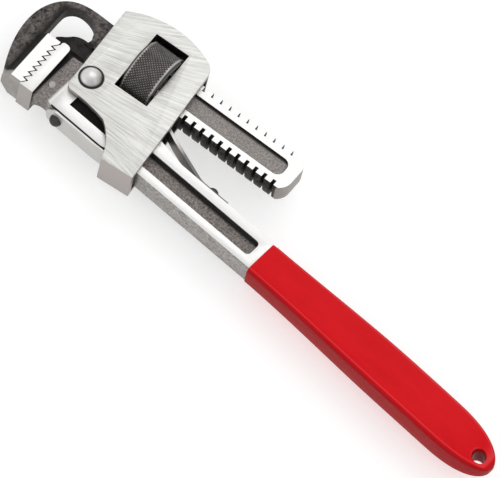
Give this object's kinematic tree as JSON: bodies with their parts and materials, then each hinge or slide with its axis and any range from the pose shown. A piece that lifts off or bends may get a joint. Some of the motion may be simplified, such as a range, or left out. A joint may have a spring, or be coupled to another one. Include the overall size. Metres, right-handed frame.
{
  "type": "pipe wrench",
  "caption": "Adjustable pipe wrench: a toothed hook jaw slides through a rocking frame as its knurled nut turns, against a toothed heel jaw on a bar with a dipped grip.",
  "frame": {"origin": "middle of the underside of the whole tool's box, the tool lying on its back face", "axes": "+X along the bar towards the end of the handle, +Y towards the hook jaw's shank, +Z out of the front face"},
  "size_m": [0.303, 0.0754, 0.0306],
  "materials": {
    "forged_bar": "forged, with ground bright rails",
    "red_vinyl": "glossy dipped vinyl",
    "hardened_jaw": "machined and hardened",
    "pin_steel": "dark, worn",
    "forged_hook": "dark forged, with machined pad and threads",
    "brushed_frame": "coarse belt-brushed",
    "dark_nut": "knurled, dark oxide with bright edges",
    "bright_rivet": "polished dome",
    "dark_rivet": "dark oxide",
    "spring_steel": "plain spring steel"
  },
  "bodies": {
    "bar": {"bar": "forged_bar", "grip": "red_vinyl", "heel_jaw": "hardened_jaw", "heel_jaw_pin": "pin_steel", "inner_spring": "spring_steel", "inner_spring_rivet": "dark_rivet", "outer_spring": "spring_steel", "outer_spring_rivet": "dark_rivet"},
    "frame": {"frame": "brushed_frame", "pivot_rivet": "bright_rivet"},
    "hook": {"hook_jaw": "forged_hook"},
    "nut": {"adjusting_nut": "dark_nut"}
  },
  "joints": [
    {"name": "frame_rock", "type": "hinge", "parent": "bar", "child": "frame", "pos_m": [-0.10896, -0.00964, 0.0153], "axis": [0, 0, 1], "range_deg": [-0.9, 0.5], "stiffness_Nm_per_rad": 2},
    {"name": "jaw_slide", "type": "slide", "parent": "frame", "child": "hook", "axis": [-0.9966, -0.0819, 0], "range_m": [0, 0.055]},
    {"name": "nut_spin", "type": "hinge", "parent": "frame", "child": "nut", "pos_m": [-0.09209, 0.01402, 0.0153], "axis": [0.9966, 0.0819, 0], "continuous": true}
  ],
  "couplings": [
    {"joint": "nut_spin", "follows": "jaw_slide", "rad_per_m": 1236.8}
  ]
}
